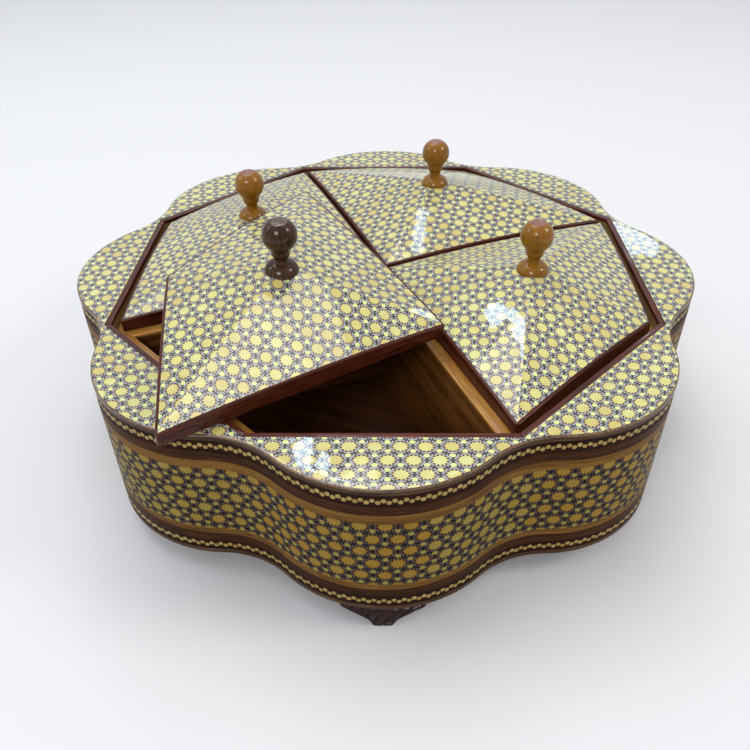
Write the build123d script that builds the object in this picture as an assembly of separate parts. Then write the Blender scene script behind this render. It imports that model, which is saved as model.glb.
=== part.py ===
from build123d import *
import math
import os

# An eight-lobed wooden candy box on four feet. An octagonal well holds two crossed dividers and is
# covered by four kite-shaped lids, each a low pyramid with a turned knob. The front lid has been taken
# out and lies on the rim and on the lids beside it. Millimetres, +Z up, the origin at the centre of the
# plane that the feet stand on.

os.makedirs("parts", exist_ok=True)

# Plan of the box
side_count = 8
opening_corner_radius = 125.0
rim_corner_width = 2.1
lobe_depth = 12.9
lobe_arc_share = 0.4154

# Heights, from the table up
foot_height = 11.0
wall_height = 63.0
bottom_thickness = 4.0

# Skins and strips
skin_thickness = 1.0
rim_veneer_thickness = 0.8
rim_strip_width = 2.5
rim_strip_depth = 2.0

# Bands around the wall, from the top down; the star band takes the height that is left
top_lipping_height = 1.8
upper_bead_band_height = 5.4
upper_brown_band_height = 4.1
upper_light_band_height = 4.2
lower_light_band_height = 2.9
lower_brown_band_height = 4.2
lower_bead_band_height = 5.5
base_lipping_height = 2.0

# Well, ledge and dividers
recess_depth = 6.0
lining_thickness = 5.5
cap_thickness = 1.2
divider_thickness = 7.7
lap_clearance = 0.1

# Lids
lid_seat_gap = 0.2
lid_inner_gap = 0.8
lid_rim_gap = 2.8
lid_corner_height = 5.2
lid_crown = 2.0
lid_rise = 13.1
lid_corner_round = 1.2
edging_thickness = 1.2
inlay_thickness = 0.8
knob_distance_share = 0.544

# Knobs
knob_seat_drop = 2.0
knob_base_radius = 6.8
knob_rim_height = 0.9
knob_dome_height = 4.5
knob_dome_width_share = 0.64
knob_dome_height_share = 0.62
knob_neck_foot_radius = 3.0
knob_neck_radius = 2.7
knob_neck_height_share = 0.45
knob_collar_radius = 3.7
knob_collar_height = 8.1
knob_groove_depth = 0.3
knob_groove_height = 0.3
knob_ball_radius = 6.8
knob_ball_height = 16.4
knob_flat_radius = 3.2
knob_taper_angle = 46.0
knob_taper_hollow = 0.25
tenon_radius = 3.0
tenon_length = 9.0
tenon_clearance = 0.1

# Feet
foot_setback = 0.4
foot_depth = 20.0
foot_top_half_width = 16.4
foot_end_half_width = 15.6
foot_end_drop = 2.0
foot_waist_half_width = 7.2
foot_waist_drop = 6.2
foot_toe_half_width = 3.4
foot_shoulder_sag_share = 0.08
foot_toe_hollow_share = 0.12

# The front lid as it lies: its inner corner in plan, as shares of the opening's corner radius, the way
# its axis points and its resting gap
front_lid_corner_share_x = 0.204
front_lid_corner_share_y = -0.4688
front_lid_heading = 167.1
resting_gap = 0.45

# Derived sizes
lobe_step = 360 / side_count
half_step = lobe_step / 2
wall_bottom = foot_height
wall_top = foot_height + wall_height
floor_top = wall_bottom + bottom_thickness
ledge_top = wall_top - recess_depth
cap_bottom = ledge_top - cap_thickness
opening_outer = opening_corner_radius * math.cos(math.radians(half_step))
opening_inner = opening_outer - rim_strip_width
lining_inner = opening_inner - lining_thickness
valley_reach = opening_corner_radius + rim_corner_width
lobe_reach = valley_reach + lobe_depth
lobe_arc_radius = lobe_arc_share * valley_reach
lobe_centre = lobe_reach - lobe_arc_radius
cos_half = math.cos(math.radians(half_step))
valley_arc_radius = (
    lobe_centre**2 + valley_reach**2
    - 2 * lobe_centre * valley_reach * cos_half
    - lobe_arc_radius**2
) / (2 * (lobe_arc_radius - valley_reach + lobe_centre * cos_half))
valley_centre = valley_reach + valley_arc_radius
lid_seat = ledge_top + lid_seat_gap
lid_outer = opening_inner - lid_rim_gap
lid_side_middle = lid_corner_height + lid_crown
lid_apex = lid_side_middle + lid_rise
knob_seat = lid_apex - knob_seat_drop
knob_distance = knob_distance_share * opening_corner_radius
front_lid_corner_x = front_lid_corner_share_x * opening_corner_radius
front_lid_corner_y = front_lid_corner_share_y * opening_corner_radius
tall = 2 * wall_top
wide = 4 * lobe_reach
halvings = 30

directions = ["right", "back_right", "back", "back_left", "left", "front_left", "front", "front_right"]
seated_lids = {"right": -half_step, "back": 90 - half_step, "left": 180 - half_step}


def polar(radius, angle):
    """Point in plan at a radius and an angle in degrees."""
    turn = math.radians(angle)
    return (radius * math.cos(turn), radius * math.sin(turn))


def between(start, end, share):
    """Point at a share of the way from one plan point to another."""
    return (start[0] + (end[0] - start[0]) * share, start[1] + (end[1] - start[1]) * share)


def raised(face, bottom, top):
    """Prism on a plan face, from one height to another."""
    return extrude(face.moved(Location((0, 0, bottom))), amount=top - bottom, dir=(0, 0, 1))


def octagon(inradius):
    """Octagon in plan whose sides face the lobes."""
    corner = inradius / cos_half
    corners = [polar(corner, half_step + k * lobe_step) for k in range(side_count)]
    return make_face(Polyline(*corners, close=True))


def lobed(inset):
    """Plan of the eight-lobed wall, offset inwards: convex arcs joined by hollow ones."""
    lobe_radius = lobe_arc_radius - inset
    valley_radius = valley_arc_radius + inset
    share = lobe_radius / (lobe_radius + valley_radius)
    arcs = []
    for k in range(side_count):
        lobe = polar(lobe_centre, k * lobe_step)
        before = polar(valley_centre, (k - 0.5) * lobe_step)
        after = polar(valley_centre, (k + 0.5) * lobe_step)
        start = between(lobe, before, share)
        end = between(lobe, after, share)
        tip = polar(lobe_centre + lobe_radius, k * lobe_step)
        dip = polar(valley_centre - valley_radius, (k + 0.5) * lobe_step)
        following = between(polar(lobe_centre, (k + 1) * lobe_step), after, share)
        arcs.append(ThreePointArc(start, tip, end))
        arcs.append(ThreePointArc(end, dip, following))
    return make_face(arcs)


def wedge(middle_angle):
    """Tall wedge of one eighth of the plan, around the direction of a lobe."""
    low = polar(wide, middle_angle - half_step)
    high = polar(wide, middle_angle + half_step)
    return raised(make_face(Polyline((0, 0), low, high, close=True)), 0, tall)


def eighths(ring):
    """The eight mitred pieces of a ring."""
    return [ring & wedge(k * lobe_step) for k in range(side_count)]


def write(name, shape):
    """Writes one piece, or a group of like pieces, under its name."""
    export_step(shape, f"parts/{name}.step")


# Walls, bottom and lining

def write_wall_blocks():
    block_top = wall_top - rim_veneer_thickness
    body = raised(lobed(skin_thickness), floor_top, block_top)
    well = raised(octagon(opening_inner), floor_top, block_top)
    rebate = raised(octagon(opening_outer), wall_top - rim_strip_depth, block_top)
    for name, piece in zip(directions, eighths(body - well - rebate)):
        write(f"wall_block_{name}", piece)


def write_bottom_board():
    write("bottom_board", raised(lobed(skin_thickness), wall_bottom, floor_top))


def write_lining():
    boards = raised(octagon(opening_inner), floor_top, cap_bottom)
    boards -= raised(octagon(lining_inner), floor_top, cap_bottom)
    for name, piece in zip(directions, eighths(boards)):
        write(f"lining_board_{name}", piece)
    caps = raised(octagon(opening_inner), cap_bottom, ledge_top)
    caps -= raised(octagon(lining_inner), cap_bottom, ledge_top)
    write("ledge_caps", Compound(eighths(caps)))


# Dividers, halved into each other at the middle

def divider_bar(angle, bottom, top):
    """Bar across the well, its ends shaped to the corners of the lining."""
    length = 2 * opening_corner_radius
    bar = raised(Rectangle(length, divider_thickness).face(), bottom, top)
    return bar.rotate(Axis.Z, angle) & raised(octagon(lining_inner), bottom, top)


def write_dividers():
    long_angle = half_step
    cross_angle = half_step + 90
    lap_middle = (floor_top + cap_bottom) / 2
    lap_width = divider_thickness + 2 * lap_clearance
    notch = Rectangle(lap_width, lap_width).face()
    upper_notch = raised(notch, lap_middle - lap_clearance, cap_bottom).rotate(Axis.Z, long_angle)
    lower_notch = raised(notch, floor_top, lap_middle + lap_clearance).rotate(Axis.Z, long_angle)
    write("divider_long", divider_bar(long_angle, floor_top, cap_bottom) - upper_notch)
    write("divider_cross", divider_bar(cross_angle, floor_top, cap_bottom) - lower_notch)
    long_cap = divider_bar(long_angle, cap_bottom, ledge_top)
    cross_cap = divider_bar(cross_angle, cap_bottom, ledge_top) - long_cap
    write("divider_cap_long", long_cap)
    write("divider_caps_cross", cross_cap)


# Rim and bands

def write_rim():
    panels = raised(lobed(0), wall_top - rim_veneer_thickness, wall_top)
    panels -= raised(octagon(opening_outer), wall_top - rim_veneer_thickness, wall_top)
    write("rim_inlay", Compound(eighths(panels)))
    strips = raised(octagon(opening_outer), wall_top - rim_strip_depth, wall_top)
    strips -= raised(octagon(opening_inner), wall_top - rim_strip_depth, wall_top)
    write("rim_strips", Compound(eighths(strips)))


def write_bands():
    upper = [
        ("top_lipping", top_lipping_height),
        ("upper_bead_band", upper_bead_band_height),
        ("upper_brown_band", upper_brown_band_height),
        ("upper_light_band", upper_light_band_height),
    ]
    lower = [
        ("base_lipping", base_lipping_height),
        ("lower_bead_band", lower_bead_band_height),
        ("lower_brown_band", lower_brown_band_height),
        ("lower_light_band", lower_light_band_height),
    ]
    plan = lobed(0) - lobed(skin_thickness)
    star_top = wall_top - rim_veneer_thickness
    for name, height in upper:
        write(name, raised(plan, star_top - height, star_top))
        star_top -= height
    star_bottom = wall_bottom
    for name, height in lower:
        write(name, raised(plan, star_bottom, star_bottom + height))
        star_bottom += height
    write("wall_inlay", raised(plan, star_bottom, star_top))


# Feet: a bracket with a cyma on each side, under every second lobe

def write_feet():
    toe = (foot_toe_half_width, 0)
    waist = (foot_waist_half_width, wall_bottom - foot_waist_drop)
    end = (foot_end_half_width, wall_bottom - foot_end_drop)
    toe_middle = between(toe, waist, 0.5)
    toe_hollow = (toe_middle[0] - foot_toe_hollow_share * foot_toe_half_width, toe_middle[1])
    shoulder_middle = between(waist, end, 0.5)
    shoulder_sag = (shoulder_middle[0], shoulder_middle[1] - foot_shoulder_sag_share * foot_waist_drop)
    right_side = [
        ThreePointArc(toe, toe_hollow, waist),
        ThreePointArc(waist, shoulder_sag, end),
        Line(end, (foot_top_half_width, wall_bottom)),
    ]
    left_side = [mirror(arc, Plane.YZ) for arc in right_side]
    toe_line = Line((-foot_toe_half_width, 0), (foot_toe_half_width, 0))
    top_line = Line((-foot_top_half_width, wall_bottom), (foot_top_half_width, wall_bottom))
    outline = make_face([toe_line, top_line] + right_side + left_side)
    bracket = extrude(Plane.XZ.location * outline, amount=lobe_reach, dir=(0, -1, 0))
    plan = raised(lobed(foot_setback), 0, wall_bottom)
    back = lobe_reach - foot_setback - foot_depth
    front_half = Pos(0, -back - foot_depth) * Rectangle(wide, 2 * foot_depth).face()
    foot = bracket & plan & raised(front_half, 0, tall)
    for k, name in enumerate(["front", "right", "back", "left"]):
        write(f"foot_{name}", foot.rotate(Axis.Z, 90 * k))


# Lids, drawn with the box's centre at the origin, the axis along +X and the underside at zero

def kite_corners(inset):
    """Inner corner, side corner, middle corner and other side corner of a lid's plan."""
    inner = lid_inner_gap + inset
    outer = lid_outer - inset
    root = inner * math.sqrt(2)
    lean = math.radians(half_step)
    side_x = (outer + root * math.sin(lean)) / (math.cos(lean) + math.sin(lean))
    side_y = side_x - root
    return [(root, 0), (side_x, -side_y), (outer / math.cos(lean), 0), (side_x, side_y)]


def kite_prism(inset):
    corners = kite_corners(inset)
    prism = raised(make_face(Polyline(*corners, close=True)), 0, 2 * lid_apex)
    rounding = max(lid_corner_round - inset, 0)
    if rounding > 0:
        prism = fillet(prism.edges().filter_by(Axis.Z), rounding)
    return prism


def facet_cylinder(start, end, depth):
    """Big cylinder whose upper side is one crowned facet, from a side of the kite up to the apex."""
    middle = between(start, end, 0.5)
    low = Vector(middle[0], middle[1], lid_side_middle)
    apex = Vector(knob_distance, 0, lid_apex)
    slope = (apex - low).normalized()
    along = Vector(end[0] - start[0], end[1] - start[1], 0)
    outward = slope.cross(along).normalized()
    if outward.Z < 0:
        outward = outward * -1
    reach = along.length / 2 * abs(along.normalized().dot(outward.cross(slope)))
    drop = lid_crown * outward.Z
    radius = (reach**2 + drop**2) / (2 * drop)
    centre = low - outward * radius
    base = Plane(origin=centre - slope * wide, x_dir=outward, z_dir=slope)
    return base.location * Cylinder(radius - depth, 2 * wide, align=(Align.CENTER, Align.CENTER, Align.MIN))


def facets(depth):
    """The four cylinders whose upper sides are the crowned facets, lowered by a depth."""
    corners = kite_corners(0)
    return [facet_cylinder(corners[k], corners[(k + 1) % 4], depth) for k in range(4)]


def under_facets(inset):
    """Kite prism under the four crowned facets, drawn in by an inset."""
    solid = kite_prism(inset)
    for cylinder in facets(0):
        solid = solid & cylinder
    return solid


def quarters(ring):
    """The four pieces of a ring around the knob, mitred along the ridges."""
    pieces = []
    corners = kite_corners(0)
    axis_point = (knob_distance, 0)
    for k in range(4):
        start = between(axis_point, corners[k], 2)
        end = between(axis_point, corners[(k + 1) % 4], 2)
        pieces.append(ring & raised(make_face(Polyline(axis_point, start, end, close=True)), 0, tall))
    return pieces


def knob():
    """Turned knob: tenon, domed base, hollow neck, a cut line, a taper and a ball with a flat on top."""
    rim = (knob_base_radius, knob_rim_height)
    neck_foot = (knob_neck_foot_radius, knob_dome_height)
    collar = (knob_collar_radius, knob_collar_height)
    groove = (knob_collar_radius - knob_groove_depth, knob_collar_height + knob_groove_height / 2)
    taper_start = (knob_collar_radius, knob_collar_height + knob_groove_height)
    dome = (
        knob_neck_foot_radius + knob_dome_width_share * (knob_base_radius - knob_neck_foot_radius),
        knob_rim_height + knob_dome_height_share * (knob_dome_height - knob_rim_height),
    )
    neck_height = knob_dome_height + knob_neck_height_share * (knob_collar_height - knob_dome_height)
    lean = math.radians(knob_taper_angle)
    ball_start = (knob_ball_radius * math.sin(lean), knob_ball_height - knob_ball_radius * math.cos(lean))
    taper = between(taper_start, ball_start, 0.5)
    ball_end = knob_ball_height + math.sqrt(knob_ball_radius**2 - knob_flat_radius**2)
    profile = [
        Line((0, -tenon_length), (tenon_radius, -tenon_length)),
        Line((tenon_radius, -tenon_length), (tenon_radius, 0)),
        Line((tenon_radius, 0), (knob_base_radius, 0)),
        Line((knob_base_radius, 0), rim),
        ThreePointArc(rim, dome, neck_foot),
        ThreePointArc(neck_foot, (knob_neck_radius, neck_height), collar),
        Line(collar, groove),
        Line(groove, taper_start),
        ThreePointArc(taper_start, (taper[0] - knob_taper_hollow, taper[1]), ball_start),
        ThreePointArc(ball_start, (knob_ball_radius, knob_ball_height), (knob_flat_radius, ball_end)),
        Line((knob_flat_radius, ball_end), (0, ball_end)),
        Line((0, ball_end), (0, -tenon_length)),
    ]
    turned = revolve(Plane.XZ.location * make_face(profile), Axis.Z)
    return turned.moved(Location((knob_distance, 0, knob_seat)))


def lid_pieces():
    """Core, edging, inlay and knob of one lid."""
    edging = under_facets(0) - kite_prism(edging_thickness)
    seat = Pos(knob_distance, 0, knob_seat) * Cylinder(
        knob_base_radius + tenon_clearance, tall, align=(Align.CENTER, Align.CENTER, Align.MIN)
    )
    tenon_hole = Pos(knob_distance, 0, knob_seat - tenon_length - tenon_clearance) * Cylinder(
        tenon_radius + tenon_clearance, tall, align=(Align.CENTER, Align.CENTER, Align.MIN)
    )
    core = under_facets(edging_thickness)
    veneers = []
    for cylinder in facets(inlay_thickness):
        veneers.append(core - cylinder - seat)
        core = core & cylinder
    return {
        "core": core - seat - tenon_hole,
        "edging": Compound(quarters(edging)),
        "inlay": Compound(veneers),
        "knob": knob(),
    }


# The front lid's place: its underside is a plane through three rest points

def outline_reach(angle):
    """Distance from the centre to the wall's outside, in the middle part of a lobe."""
    turn = math.radians((angle + half_step) % lobe_step - half_step)
    return lobe_centre * math.cos(turn) + math.sqrt(lobe_arc_radius**2 - (lobe_centre * math.sin(turn)) ** 2)


def front_lid_plan(point):
    """A point of the lid's own plan, moved to where the front lid lies."""
    turned = Vector(point[0], point[1]).rotate(Axis.Z, front_lid_heading)
    return Vector(turned.X + front_lid_corner_x, turned.Y + front_lid_corner_y)


def facet_height(point, lid_angle):
    """Height of a seated lid's uncrowned facets above a plan point."""
    local = point.rotate(Axis.Z, -lid_angle)
    lean = math.radians(half_step)
    diagonal = math.sqrt(0.5)
    inner = (local.X - abs(local.Y)) * diagonal - lid_inner_gap
    outer = lid_outer - local.X * math.cos(lean) - abs(local.Y) * math.sin(lean)
    inner_full = knob_distance * diagonal - lid_inner_gap
    outer_full = lid_outer - knob_distance * math.cos(lean)
    share = min(inner / inner_full, outer / outer_full)
    return lid_seat + lid_side_middle + lid_rise * max(share, 0)


def nearest_on_edge(point, start, end):
    """The point of an edge that is nearest to a plan point."""
    edge = end - start
    share = (point - start).dot(edge) / edge.dot(edge)
    return start + edge * share


def leaves_outline(inside, outside):
    """The point where an edge of the lid passes over the outside of the wall, found by halving."""
    for _ in range(halvings):
        middle = (inside + outside) * 0.5
        angle = math.degrees(math.atan2(middle.Y, middle.X))
        if middle.length < outline_reach(angle):
            inside = middle
        else:
            outside = middle
    return inside


def front_lid_location():
    inner, low_side, middle, high_side = [front_lid_plan(p) for p in kite_corners(0)]
    rim_point = leaves_outline(inner, high_side)
    on_rim = Vector(rim_point.X, rim_point.Y, wall_top + resting_gap)
    on_right_lid = Vector(inner.X, inner.Y, lid_seat + lid_side_middle + resting_gap)
    left_knob = Vector(*polar(knob_distance, seated_lids["left"]))
    touch = nearest_on_edge(left_knob, middle, low_side)
    touch_height = facet_height(touch, seated_lids["left"]) + resting_gap
    on_left_lid = Vector(touch.X, touch.Y, touch_height)
    up = (on_right_lid - on_rim).cross(on_left_lid - on_rim).normalized()
    if up.Z < 0:
        up = up * -1
    aside = Vector(front_lid_corner_x - on_rim.X, front_lid_corner_y - on_rim.Y)
    corner_height = on_rim.Z - (up.X * aside.X + up.Y * aside.Y) / up.Z
    heading = Vector(*polar(1, front_lid_heading))
    forward = heading - up * heading.dot(up)
    corner = (front_lid_corner_x, front_lid_corner_y, corner_height)
    return Plane(origin=corner, x_dir=forward, z_dir=up).location


def write_lids():
    pieces = lid_pieces()
    places = {name: Location((0, 0, lid_seat), (0, 0, angle)) for name, angle in seated_lids.items()}
    places["front"] = front_lid_location()
    for lid, place in places.items():
        for name, piece in pieces.items():
            write(f"lid_{lid}_{name}", piece.moved(place))


write_wall_blocks()
write_bottom_board()
write_lining()
write_dividers()
write_rim()
write_bands()
write_feet()
write_lids()
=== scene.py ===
# %% [markdown]
# # An inlaid candy box
#
# The real object is a low wooden box with eight lobes, covered all over with star inlay: thin sheets cut
# from a bundle of coloured rods, so that each sheet shows the same small stars. It stands on four carved
# feet. An octagonal well in the top holds two crossed dividers and is covered by four kite-shaped lids
# with turned knobs. One lid has been taken out and lies on the rim.
#
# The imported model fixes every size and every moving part, so the lesson starts by loading it. All the
# shapes below are drawn in millimetres, as a maker would, and set down in metres.

# %% Load the frame
import bisect
import math
import random
import bmesh
import bpy
from mathutils import Matrix, Vector


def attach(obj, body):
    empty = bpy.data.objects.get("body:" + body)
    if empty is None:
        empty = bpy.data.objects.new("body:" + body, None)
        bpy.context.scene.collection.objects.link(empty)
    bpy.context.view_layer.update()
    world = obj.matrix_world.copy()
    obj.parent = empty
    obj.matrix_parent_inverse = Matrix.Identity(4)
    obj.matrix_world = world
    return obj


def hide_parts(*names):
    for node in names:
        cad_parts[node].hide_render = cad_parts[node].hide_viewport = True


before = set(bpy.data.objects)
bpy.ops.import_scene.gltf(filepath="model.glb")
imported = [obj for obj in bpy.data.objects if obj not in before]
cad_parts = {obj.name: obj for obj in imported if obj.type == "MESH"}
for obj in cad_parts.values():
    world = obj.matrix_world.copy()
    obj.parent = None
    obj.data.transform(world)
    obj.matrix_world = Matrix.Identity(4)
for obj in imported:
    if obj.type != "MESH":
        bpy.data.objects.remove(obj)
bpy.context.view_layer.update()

# %% [markdown]
# ## A bench for cutting pieces
#
# Each visible piece is made as a mesh of its own. A small bench collects its faces, and beside each face
# it keeps a flat drawing in millimetres: where that face would lie if the veneer were still a sheet on
# the table. The wood grain and the stars follow that drawing, so they turn and bend with the piece, as
# real veneer does. Another way would be to project the pattern from above, but then it smears on the
# walls. A drawing is given as places, or as a rule that finds the place of each point.

# %% The bench
millimetre = 0.001
weld_distance = 0.002
crease = math.radians(32)


class Bench:
    """Collects the faces of one piece, each with its place in a flat drawing, in millimetres."""

    def __init__(self):
        self.mesh = bmesh.new()
        self.drawing = self.mesh.loops.layers.uv.new("drawing")

    def face(self, corners, places, finish=0):
        """One face."""
        if callable(places):
            places = [places(corner) for corner in corners]
        face = self.mesh.faces.new([self.mesh.verts.new(corner) for corner in corners])
        face.material_index = finish
        face.smooth = True
        for loop, place in zip(face.loops, places):
            loop[self.drawing].uv = place

    def grid(self, rows, drawings, finish=0):
        """Faces between rows of points."""
        if callable(drawings):
            drawings = [[drawings(point) for point in row] for row in rows]
        for low, high, low_places, high_places in zip(rows, rows[1:], drawings, drawings[1:]):
            for k in range(len(low) - 1):
                corners = [low[k], low[k + 1], high[k + 1], high[k]]
                places = [low_places[k], low_places[k + 1], high_places[k + 1], high_places[k]]
                self.face(corners, places, finish)

    def finished(self, name, body, slot, finishes, nodes=(), place=None):
        """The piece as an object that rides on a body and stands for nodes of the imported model."""
        bmesh.ops.remove_doubles(self.mesh, verts=self.mesh.verts, dist=weld_distance)
        bmesh.ops.dissolve_degenerate(self.mesh, edges=self.mesh.edges, dist=weld_distance)
        bmesh.ops.recalc_face_normals(self.mesh, faces=self.mesh.faces)
        if place is not None:
            self.mesh.transform(place)
        self.mesh.transform(Matrix.Scale(millimetre, 4))
        mesh = bpy.data.meshes.new(name)
        self.mesh.to_mesh(mesh)
        self.mesh.free()
        mesh.set_sharp_from_angle(angle=crease)
        for finish in finishes:
            mesh.materials.append(finish)
        piece = bpy.data.objects.new(name, mesh)
        bpy.context.scene.collection.objects.link(piece)
        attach(piece, body)
        if nodes:
            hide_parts(*nodes)
        print(name, "faces:", len(mesh.polygons))


print("pieces are welded where points are within", weld_distance, "mm")

# %% [markdown]
# ## A kit for finishes
#
# A finish is a Principled shader fed by a few noise and maths nodes. They could be joined by hand in the
# node editor, but a script can say the same in fewer words. The small class below only shortens the
# writing: it makes a node, joins it to the nodes before it, and hands back its output.

# %% The finish kit
class Finish:
    """One finish: its shader and the nodes that feed it."""

    def __init__(self, name):
        self.material = bpy.data.materials.new(name)
        self.material.use_nodes = True
        self.nodes = self.material.node_tree.nodes
        self.links = self.material.node_tree.links
        self.shader = self.nodes["Principled BSDF"]

    def feed(self, socket, value):
        if isinstance(value, bpy.types.NodeSocket):
            self.links.new(value, socket)
        elif socket.type == "RGBA":
            socket.default_value = (*value, 1.0)
        else:
            socket.default_value = value

    def node(self, kind, inputs=None, **settings):
        made = self.nodes.new("ShaderNode" + kind)
        for key, value in settings.items():
            setattr(made, key, value)
        for key, value in (inputs or {}).items():
            self.feed(made.inputs[key], value)
        return made

    def math(self, operation, *values):
        made = self.node("Math", operation=operation)
        for socket, value in zip(made.inputs, values):
            self.feed(socket, value)
        return made.outputs[0]

    def plus(self, first, second):
        return self.math("ADD", first, second)

    def minus(self, first, second):
        return self.math("SUBTRACT", first, second)

    def times(self, first, second):
        return self.math("MULTIPLY", first, second)

    def length(self, across, along):
        """The long side of a right triangle."""
        return self.math("SQRT", self.math("MULTIPLY_ADD", across, across, self.times(along, along)))

    def wrap(self, value, half):
        """The value, brought back between minus half and half as often as needed."""
        return self.math("WRAP", value, half, -half)

    def vector(self, operation, *values):
        made = self.node("VectorMath", operation=operation)
        for socket, value in zip(made.inputs, values):
            self.feed(socket, value)
        return made.outputs["Vector"]

    def mix(self, share, first, second):
        made = self.node("Mix", data_type="RGBA", clamp_factor=True)
        self.feed(made.inputs[0], share)
        self.feed(made.inputs[6], first)
        self.feed(made.inputs[7], second)
        return made.outputs[2]

    def noise(self, where, scale, detail=3.0, roughness=0.55):
        inputs = {"Scale": scale, "Detail": detail, "Roughness": roughness, "Vector": where}
        return self.node("TexNoise", inputs).outputs[0]

    def below(self, value, edge, soft):
        """One where the value is below the edge, zero above it, with a soft step."""
        made = self.node("MapRange", interpolation_type="SMOOTHSTEP")
        numbers = (value, self.minus(edge, soft), self.plus(edge, soft), 1.0, 0.0)
        for socket, number in zip(made.inputs[:5], numbers):
            self.feed(socket, number)
        return made.outputs[0]

    def spread(self, value, low, high, to_low=0.0, to_high=1.0):
        """The value, with low to high stretched to another range."""
        made = self.node("MapRange")
        for socket, number in zip(made.inputs[:5], (value, low, high, to_low, to_high)):
            self.feed(socket, number)
        return made.outputs[0]

    def bump(self, height, strength, distance):
        return self.node("Bump", {"Strength": strength, "Distance": distance, "Height": height}).outputs[0]

    def set(self, **values):
        for key, value in values.items():
            self.feed(self.shader.inputs[key.replace("_", " ")], value)


print("the kit writes colours as red, green and blue shares")

# %% [markdown]
# ## Star inlay
#
# The sheets of this old craft are sliced from glued bundles of thin rods: bone or pale wood for the
# stars, dyed red wood for the points around them, grey metal or bone for the net of lines, and ebony in
# the corners. The stars stand on a triangular lattice, with its rows squeezed a little closer together
# than in an even one. A picture of the sheet would be quick, but it would repeat and blur. Here the
# shader finds the nearest star centre, and the rest is a matter of distance and angle from there. A slow
# noise lets the rows wander, as glued rods do.

# %% Find the nearest star
wander_scale = 0.11
wander_reach = 0.9


def nearest_star(f, pitch, squeeze):
    """The drawing, the place along it, and the nearest star's distance, angle and own random number."""
    drawing = f.node("UVMap", uv_map="drawing").outputs[0]
    wander = f.node("TexNoise", {"Vector": drawing, "Scale": wander_scale, "Detail": 2.0}).outputs["Color"]
    shift = f.vector("SCALE", f.vector("SUBTRACT", wander, (0.5, 0.5, 0.5)))
    shift.node.inputs["Scale"].default_value = wander_reach
    place = f.node("SeparateXYZ", {"Vector": f.vector("ADD", drawing, shift)})
    x, y = place.outputs[0], f.times(place.outputs[1], squeeze)
    row = pitch * math.sqrt(3) / 2

    def from_centre(offset_x, offset_y):
        across = f.wrap(f.minus(x, offset_x), pitch / 2)
        along = f.wrap(f.minus(y, offset_y), row)
        return across, along, f.length(across, along)

    first = from_centre(0.0, 0.0)
    second = from_centre(pitch / 2, row)
    nearer = f.math("LESS_THAN", first[2], second[2])
    across, along, distance = [
        f.math("MULTIPLY_ADD", nearer, f.minus(one, other), other) for one, other in zip(first, second)
    ]
    centre = f.node("CombineXYZ", {"X": f.minus(x, across), "Y": f.minus(y, along)}).outputs[0]
    rounded = f.vector("SNAP", f.vector("ADD", centre, (0.5, 0.5, 0.5)), (1.0, 1.0, 1.0))
    own = f.node("TexWhiteNoise", {"Vector": rounded}, noise_dimensions="2D").outputs["Value"]
    return drawing, x, f.math("DIVIDE", distance, pitch), f.math("ARCTAN2", along, across), own


print("rows wander by up to", wander_reach / 2, "mm")

# %% [markdown]
# Each kind of rod gets a mask, drawn with the pitch as its unit: the twelve-pointed star, a red point in
# each notch between its tips, the hexagon of grey lines, a round dot and black in each small triangle
# between the hexagons, and black where the hexagon's corners stand close to the star. The edges are
# ragged by a fine noise, because a sawn sheet is never as clean as a drawing.

# %% Draw the star and its frame
sextant = math.pi / 6
star_size = 0.298
size_spread = 0.014
star_tips = 12
tip_depth = 0.028
point_place = star_size + 0.008
point_size = 0.047
line_place = 0.406
line_width = 0.032
triangle_place = 0.437
dot_place = 0.577
dot_size = 0.124
corner_place = 0.40
corner_angle = 0.10
raggedness = 0.11


def star_masks(f, reach, angle, own, fine):
    """Masks of the star, its red points, the lines, the dots and the black places."""
    rough_edge = f.math("MULTIPLY_ADD", fine, raggedness, -raggedness / 2)
    side_angle = f.wrap(f.minus(angle, sextant), sextant)
    to_side = f.times(reach, f.math("COSINE", side_angle))
    beside = f.times(reach, f.math("SINE", side_angle))

    own_size = f.spread(own, 0.0, 1.0, star_size - size_spread, star_size + size_spread)
    tips = f.times(f.math("COSINE", f.times(angle, star_tips)), tip_depth)
    in_star = f.below(f.plus(reach, rough_edge), f.plus(tips, own_size), soft=0.014)

    point_angle = f.wrap(f.minus(angle, sextant / 2), sextant / 2)
    point_x = f.minus(f.times(reach, f.math("COSINE", point_angle)), point_place)
    point_y = f.times(reach, f.math("SINE", point_angle))
    point_reach = f.plus(f.length(point_x, point_y), f.times(rough_edge, 0.6))
    in_point = f.below(point_reach, point_size, soft=0.012)

    line_off = f.plus(f.math("ABSOLUTE", f.minus(to_side, line_place)), f.times(rough_edge, 0.5))
    in_line = f.below(line_off, line_width, soft=0.013)
    dot_reach = f.plus(f.length(f.minus(to_side, dot_place), beside), rough_edge)
    in_dot = f.below(dot_reach, dot_size, soft=0.016)

    off_corner = f.math("ABSOLUTE", f.wrap(angle, sextant))
    beyond = f.below(f.times(reach, -1.0), -corner_place, soft=0.02)
    near_corner = f.times(f.below(off_corner, corner_angle, soft=0.05), beyond)
    in_triangle = f.minus(1.0, f.below(to_side, triangle_place, soft=0.008))
    return in_star, in_point, in_line, in_dot, f.math("MAXIMUM", near_corner, in_triangle)


print("a star is", 2 * star_size, "of the pitch across, with", star_tips, "tips")

# %% [markdown]
# The masks are then coloured. The stars differ a little from one to the next, show fine streaks and
# specks, and turn golden in patches, as the real sheets do where the lacquer has yellowed. A thick clear
# coat with a slow ripple lies over them. That ripple matters most: it breaks the mirrored lights into
# the soft, wavering streaks of a hand-lacquered lid.

# %% The star inlay finish
lacquer_roughness = 0.015
streaks_around = 9.0


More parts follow.
